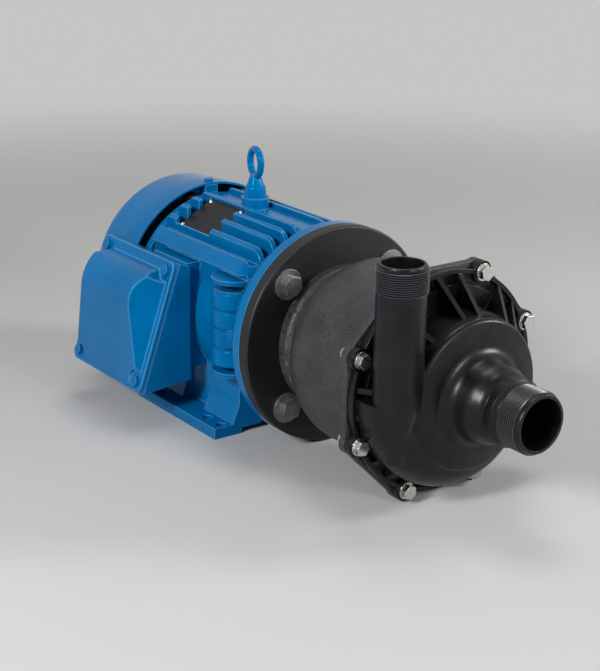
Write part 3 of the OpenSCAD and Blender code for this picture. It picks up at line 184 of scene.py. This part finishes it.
# The same enamel on drawn sheet steel: a smooth coat with a fine orange peel and a long soft highlight
enamel_sheet = surface(
    "sprayed blue enamel on sheet steel", "#006096", "#0069a4", (0.12, 0.2), 2.6, 0.03, 90.0,
    edge=1.0, **ENAMEL,
)
# Baked black paint on a turned steel plate: faint rings of the turning tool under a dull satin film.
# The rings are drawn 2.4 mm apart, wider than real feed marks, so that they show.
black_paint = surface(
    "baked black paint on turned steel", "#131416", "#1b1c1e", (0.36, 0.48), 1.4, 0.05, 60.0,
    level=0.4, feed=(2.4, 0.04), edge=0.9,
)
# Glass-filled nylon moulded with a sandy skin: coarse matt grain, greyer than the smooth pump casing
bracket_coat = surface(
    "sandy moulded glass-filled nylon", "#17181a", "#3a3b3e", (0.42, 0.56), 1.9, 0.5, 30.0,
    edge=1.2, speck=0.6,
)
# Injection-moulded polypropylene: satin black with soft wide highlights and a faint spark-eroded grain
polypropylene = surface(
    "injection-moulded black polypropylene", "#08090b", "#141518", (0.27, 0.38), 1.8, 0.09, 25.0,
    level=0.27, edge=1.3, speck=0.4,
)
# Cold-formed stainless steel: clean bright faces, slightly milky
stainless = surface(
    "cold-formed stainless steel", "#c2c1bc", "#d4d3ce", (0.2, 0.28), 1.2, 0.01, 12.0, metal=1.0, edge=0.6
)
# Plain zinc-flake steel of the face bolts: mid grey and dull
flake_steel = surface(
    "zinc-flake coated steel", "#838386", "#9c9c9e", (0.32, 0.44), 1.0, 0.03, 12.0, metal=0.9, edge=0.8
)
# Bright rolled steel rivets of the plate: small clean sparks of light
rivet_steel = surface("rolled bright steel", "#a9abac", "#c4c5c5", (0.26, 0.36), 0.8, 0.02, 9.0, metal=1.0)
# Ground steel: a fine grain drawn out along the shaft
machined = surface(
    "ground steel", "#85888b", "#a9acae", (0.22, 0.34), 0.4, 0.02, 12.0, metal=1.0, stretch=(0.15, 1, 1)
)
# Stacked electrical steel: thin dark lines between sheets
laminated = surface(
    "stacked electrical steel", "#4a4c4f", "#66686b", (0.4, 0.55), 0.5, 0.1,
    metal=0.8, stretch=(1, 0.05, 0.05),
)
# Die-cast aluminium of the rotor's end rings: pale and softly mottled
aluminium = surface("die-cast aluminium", "#9a9d9f", "#c0c2c3", (0.38, 0.5), 1.0, 0.1, metal=1.0)
# Brushed and black anodised aluminium of the bare data plate: fine lines along the plate
anodised = surface(
    "brushed black anodised aluminium", "#101112", "#1f2022", (0.34, 0.48), 0.9, 0.03, 25.0,
    metal=0.4, stretch=(0.06, 1, 1),
)
# Varnished copper wire: warm, with strands drawn along the coils
copper = surface(
    "varnished copper wire", "#7a3d1c", "#b5673a", (0.25, 0.4), 0.8, 0.3, 6.0,
    metal=0.6, stretch=(1, 0.2, 0.2),
)
# Nickel-plated sintered magnets: a dark mirror with a faint grain
nickel = surface("nickel-plated magnets", "#5a5c60", "#7b7d81", (0.22, 0.34), 0.6, 0.03, metal=1.0)
# Ground alumina of the pump shaft and rings: ivory and smooth
alumina = surface("ground alumina", "#d8d3c6", "#ece8dd", (0.2, 0.3), 0.4, 0.02)
# Pressed carbon of the bushing: dark grey with a dull lustre
carbon = surface("pressed carbon", "#232425", "#343537", (0.4, 0.52), 0.5, 0.04)
# Moulded rubber of the O-ring: dull black
rubber = surface("moulded rubber", "#151617", "#202122", (0.55, 0.7), 0.8, 0.06)
# Moulded polypropylene of the fan: dark grey satin
fan_plastic = surface("moulded grey polypropylene", "#2b2e31", "#3a3d40", (0.42, 0.55), 1.0, 0.05)

SLOT_SURFACE = {
    "motor_paint": enamel_cast,
    "black_paint": black_paint,
    "bracket_coat": bracket_coat,
    "moulded_plastic": polypropylene,
    "bare_steel": machined,
    "dark_bolts": flake_steel,
    "stainless": stainless,
    "core_steel": laminated,
    "cast_aluminium": aluminium,
    "plate": anodised,
    "winding": copper,
    "magnet": nickel,
    "ceramic": alumina,
    "carbon": carbon,
    "rubber": rubber,
    "fan_plastic": fan_plastic,
}
# Pieces whose finish differs from their slot's. The covers' screws and the gasket are painted over.
NODE_SURFACE = {
    "fan_cover": enamel_sheet,
    "box_cover": enamel_cover,
    "cover_screws": enamel_sheet,
    "fan_cover_screws": enamel_sheet,
    "box_gasket": enamel_sheet,
    "plate_pins": rivet_steel,
}
# Width in mm of the small edge rounding that castings, mouldings and bolt heads have
EDGE = {
    "motor_frame": 1.2,
    "front_end_shield": 1.0,
    "rear_end_shield": 1.0,
    "fan_cover": 0.6,
    "terminal_box": 1.0,
    "box_cover": 1.4,
    "drive_bracket": 1.0,
    "volute": 1.0,
    "adapter_plate": 0.5,
    "casing_bolts": 0.5,
    "face_bolts": 0.6,
    "casing_nuts": 0.5,
    "eyebolt": 0.6,
}
# Points closer than this many mm become one, and corners sharper than this angle are rounded
WELD_GAP = 0.002
SHARP_CORNER = math.radians(32)


def soften(obj, width):
    """Rounds the sharp edges of a piece by modifiers alone."""
    weld = obj.modifiers.new("weld", "WELD")
    weld.merge_threshold = WELD_GAP * MM
    bevel = obj.modifiers.new("edge", "BEVEL")
    bevel.width = width * MM
    bevel.segments = 2
    bevel.limit_method = "ANGLE"
    bevel.angle_limit = SHARP_CORNER
    shade = obj.modifiers.new("shade", "WEIGHTED_NORMAL")
    shade.keep_sharp = True


for part in frame["record"]["subparts"]:
    piece = nodes[part["node"]]
    piece.data.materials.clear()
    piece.data.materials.append(NODE_SURFACE.get(part["node"], SLOT_SURFACE[part["material_slot"]]))
    if part["node"] in EDGE:
        soften(piece, EDGE[part["node"]])


def smooth_object(name, points, faces, material):
    """A smooth-shaded object from points in metres."""
    mesh = bpy.data.meshes.new(name)
    mesh.from_pydata(points, [], faces)
    mesh.polygons.foreach_set("use_smooth", [True] * len(mesh.polygons))
    mesh.update()
    mesh.materials.append(material)
    obj = bpy.data.objects.new(name, mesh)
    scene.collection.objects.link(obj)
    return obj


def new_piece(name, points, faces, material, place, body):
    """A mesh piece from points in mm, put in place and fixed to a body."""
    obj = smooth_object(name, [Vector(p) * MM for p in points], faces, material)
    obj.matrix_world = place
    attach(obj, body)
    return obj


# Name of the value that is 0 at a thread's root and 1 at its crest, and the painted shades that go with
# it: painted shade at the root, a painted highlight at the crest
CREST = "crest"
CREST_SPAN, PAINTED_ROOT_CREST_SHADES = (0.3, 1.0), ("#040405", "#3d3e42")


def thread_plastic():
    """The casing's plastic where the pipe threads are cut."""
    made = surface(
        "cut black polypropylene thread", "#101113", "#17181b", (0.24, 0.34), 0.8, 0.02, 20.0, level=0.3
    )
    tree = made.node_tree
    # Painted shade in the thread's roots and a painted highlight along its crests, from the crest value
    height = add(tree, "ShaderNodeAttribute")
    height.attribute_name = CREST
    root_shade_crest_highlight = add(tree, "ShaderNodeValToRGB", Fac=height.outputs["Fac"])
    for stop, position, code in zip(root_shade_crest_highlight.color_ramp.elements, CREST_SPAN, PAINTED_ROOT_CREST_SHADES):
        stop.position = position
        stop.color = linear(code)
    tree.links.new(root_shade_crest_highlight.outputs["Color"], tree.nodes["Principled BSDF"].inputs["Base Color"])
    return made


# Cut black polypropylene: painted shade in the roots and a thin painted highlight along each crest
cut_thread = thread_plastic()

# Height of a thread's ridge in mm, and how far its foot is sunk into the pipe
RIDGE_H, RIDGE_SINK = 1.55, 0.15
# Half widths of the ridge's foot and crest, in pitches
FOOT_HALF, CREST_HALF = 0.48, 0.09
# Turns over which the ridge rises at its start and runs out at its end, and steps to a turn
RISE_TURNS, RUNOUT_TURNS, TURN_STEPS = 0.5, 0.25, 72
RIDGE_SHARP = math.radians(25)
ports = {mount["name"]: mount for mount in frame["record"]["mounts"]}


def thread_ridge(name, port, pitch, turn):
    """The ridge of a pipe end's screw thread, wound along local Z."""
    root, length = port["dims"]["r_mm"], port["dims"]["length_mm"]
    start = Vector(port["pos_m"]) - Vector(port["axis"]) * length / 2 * MM
    count = int(length / pitch * TURN_STEPS)
    points, faces = [], []
    for i in range(count + 1):
        angle = 2 * math.pi * i / TURN_STEPS
        middle = pitch / 2 + (length - pitch) * i / count
        grown = min(1.0, i / (RISE_TURNS * TURN_STEPS), (count - i) / (RUNOUT_TURNS * TURN_STEPS))
        foot, top = root - RIDGE_SINK, root + RIDGE_H * grown
        outline = ((foot, -FOOT_HALF), (top, -CREST_HALF), (top, CREST_HALF), (foot, FOOT_HALF))
        for radius, offset in outline:
            points.append((radius * math.cos(angle), radius * math.sin(angle), middle + offset * pitch))
        if i:
            a, b = 4 * (i - 1), 4 * i
            faces += [(a + k, b + k, b + k + 1, a + k + 1) for k in range(3)]
    faces += [(0, 1, 2, 3), (4 * count + 3, 4 * count + 2, 4 * count + 1, 4 * count)]
    place = Matrix.Translation(start) @ turn
    ridge = new_piece(name, points, faces, cut_thread, place, "stator")
    height = ridge.data.attributes.new(CREST, "FLOAT", "POINT")
    height.data.foreach_set("value", [0.0, 1.0, 1.0, 0.0] * (count + 1))
    ridge.data.set_sharp_from_angle(angle=RIDGE_SHARP)


# Pipe threads of both ports. The upright one has eleven and a half turns to the inch; the one that points
# at the viewer is drawn a little coarser, so that its turns show.
PIPE_PITCH = 25.4 / 11.5
SHOWN_PITCH = 2.75
thread_ridge("suction_thread", ports["suction"], SHOWN_PITCH, Matrix.Rotation(math.radians(90), 4, "Y"))
thread_ridge("discharge_thread", ports["discharge"], PIPE_PITCH, Matrix.Identity(4))

# The bracket flange's straight sides, a band that joins the bolt lugs into one octagon. Sizes are in mm.
FLANGE_X0, FLANGE_X1 = 290.2, 297.8
FLANGE_FLAT, FLANGE_INSIDE = 111.0, 106.0
FLANGE_ROUND = 0.9
FLANGE_SIDES = 8
FLANGE_SHARP = math.radians(35)
half_side = math.pi / FLANGE_SIDES
ease = 0.3 * FLANGE_ROUND
profile = [
    (FLANGE_INSIDE, FLANGE_X0),
    (FLANGE_FLAT - FLANGE_ROUND, FLANGE_X0),
    (FLANGE_FLAT - ease, FLANGE_X0 + ease),
    (FLANGE_FLAT, FLANGE_X0 + FLANGE_ROUND),
    (FLANGE_FLAT, FLANGE_X1 - FLANGE_ROUND),
    (FLANGE_FLAT - ease, FLANGE_X1 - ease),
    (FLANGE_FLAT - FLANGE_ROUND, FLANGE_X1),
    (FLANGE_INSIDE, FLANGE_X1),
]
band_points, band_faces = [], []
for side in range(FLANGE_SIDES):
    turn = half_side * (1 + 2 * side)
    here, beyond = side * len(profile), (side + 1) % FLANGE_SIDES * len(profile)
    for k, (flat, x) in enumerate(profile):
        reach = flat / math.cos(half_side)
        band_points.append((x, reach * math.cos(turn), SHAFT_Z + reach * math.sin(turn)))
        j = (k + 1) % len(profile)
        band_faces.append((here + k, here + j, beyond + j, beyond + k))
flange_band = new_piece(
    "flange_band", band_points, band_faces, bracket_coat, Matrix.Identity(4), "stator"
)
flange_band.data.set_sharp_from_angle(angle=FLANGE_SHARP)

# Studio, in metres: distance from the middle of the floor over which lit paper turns into plain pale paper
PLAIN_START, PLAIN_FULL = 0.6, 2.0


def studio_paper():
    """The floor's paper, which far from the object shows one plain shade to the camera and in reflections."""
    made = surface("matt studio paper", "#bcbcbb", "#c0c0bf", (0.85, 0.95), 3.0, 0.02, 900.0, level=0.1)
    tree = made.node_tree
    spot = add(tree, "ShaderNodeNewGeometry").outputs["Position"]
    reach = add(tree, "ShaderNodeVectorMath", Vector=spot)
    reach.operation = "LENGTH"
    far = add(
        tree,
        "ShaderNodeMapRange",
        {"From Min": PLAIN_START, "From Max": PLAIN_FULL},
        Value=reach.outputs["Value"],
    )
    far.interpolation_type = "SMOOTHSTEP"
    rays = add(tree, "ShaderNodeLightPath").outputs
    seen = add(tree, "ShaderNodeMath", Value=rays["Is Camera Ray"])
    tree.links.new(rays["Is Glossy Ray"], seen.inputs[1])
    seen_too = add(tree, "ShaderNodeMath", Value=seen.outputs[0])
    tree.links.new(rays["Is Transmission Ray"], seen_too.inputs[1])
    seen_too.use_clamp = True
    share = add(tree, "ShaderNodeMath", Value=far.outputs["Result"])
    share.operation = "MULTIPLY"
    tree.links.new(seen_too.outputs[0], share.inputs[1])
    plain = add(tree, "ShaderNodeEmission", {"Color": linear("#c6c6c5")})
    blend = add(tree, "ShaderNodeMixShader", Fac=share.outputs[0])
    tree.links.new(tree.nodes["Principled BSDF"].outputs["BSDF"], blend.inputs[1])
    tree.links.new(plain.outputs["Emission"], blend.inputs[2])
    tree.links.new(blend.outputs["Shader"], tree.nodes["Material Output"].inputs["Surface"])
    return made


# A round pale floor that rises in one smooth bend into a wall
FLOOR_RINGS = (0.4, 1.4)
FLOOR_R, BEND_R, WALL_TOP = 2.6, 1.6, 7.0
BEND_STEPS, SPOKES = 24, 96
bend = [math.pi / 2 * i / BEND_STEPS for i in range(BEND_STEPS + 1)]
sweep = [(r, 0.0) for r in FLOOR_RINGS]
sweep += [(FLOOR_R + BEND_R * math.sin(t), BEND_R * (1 - math.cos(t))) for t in bend]
sweep += [(FLOOR_R + BEND_R, WALL_TOP)]
floor_points, floor_faces = [(0, 0, 0)], []
for spoke in range(SPOKES):
    turn = 2 * math.pi * spoke / SPOKES
    here, beyond = 1 + spoke * len(sweep), 1 + (spoke + 1) % SPOKES * len(sweep)
    floor_points += [(r * math.cos(turn), r * math.sin(turn), z) for r, z in sweep]
    floor_faces.append((0, here, beyond))
    floor_faces += [(here + k, here + k + 1, beyond + k + 1, beyond + k) for k in range(len(sweep) - 1)]
# Matt studio paper: even, with a barely seen drift of tone, and a soft shadow under the object
floor = smooth_object("floor", floor_points, floor_faces, studio_paper())


def soft_light(name, spot, target, size, power):
    """A square soft light that points at a place, with its power in watts."""
    data = bpy.data.lights.new(name, "AREA")
    data.size = size
    data.energy = power
    obj = bpy.data.objects.new(name, data)
    scene.collection.objects.link(obj)
    obj.location = spot
    obj.rotation_euler = (Vector(target) - Vector(spot)).to_track_quat("-Z", "Y").to_euler()


MIDDLE, PUMP_END = (0.1, 0, 0.1), (0.3, 0, 0.12)
soft_light("key_light", (0.6, -1.8, 1.15), MIDDLE, 0.45, 36)
soft_light("top_light", (-0.2, 0.3, 2.1), MIDDLE, 0.8, 12)
soft_light("rim_light", (1.2, 1.5, 0.9), PUMP_END, 0.45, 24)
soft_light("front_light", (2.3, 0.2, 0.9), PUMP_END, 0.5, 16)

# A weak, slightly cool light from all round
AIR_COLOUR, AIR_STRENGTH = (0.8, 0.82, 0.85, 1), 0.3
world = bpy.data.worlds.new("studio air")
world.use_nodes = True
scene.world = world
air = world.node_tree.nodes["Background"].inputs
air["Color"].default_value = AIR_COLOUR
air["Strength"].default_value = AIR_STRENGTH

# Camera at the photograph's place: eye and aim in mm, roll in radians, lens and sensor in mm
EYE, AIM = (1295.6, -908.0, 620.1), (78.0, 0.0, 94.66)
ROLL, LENS, SENSOR = 0.018, 81.38, 36
eye = Vector(EYE) * MM
back = (eye - Vector(AIM) * MM).normalized()
right = Vector((0, 0, 1)).cross(back).normalized()
up = back.cross(right)
rolled_right = right * math.cos(ROLL) + up * math.sin(ROLL)
rolled_up = up * math.cos(ROLL) - right * math.sin(ROLL)
camera_data = bpy.data.cameras.new("camera")
camera_data.lens = LENS
camera_data.sensor_width = SENSOR
camera = bpy.data.objects.new("camera", camera_data)
scene.collection.objects.link(camera)
camera.matrix_world = Matrix.Translation(eye) @ Matrix((rolled_right, rolled_up, back)).transposed().to_4x4()
scene.camera = camera
scene.view_settings.view_transform = "Standard"
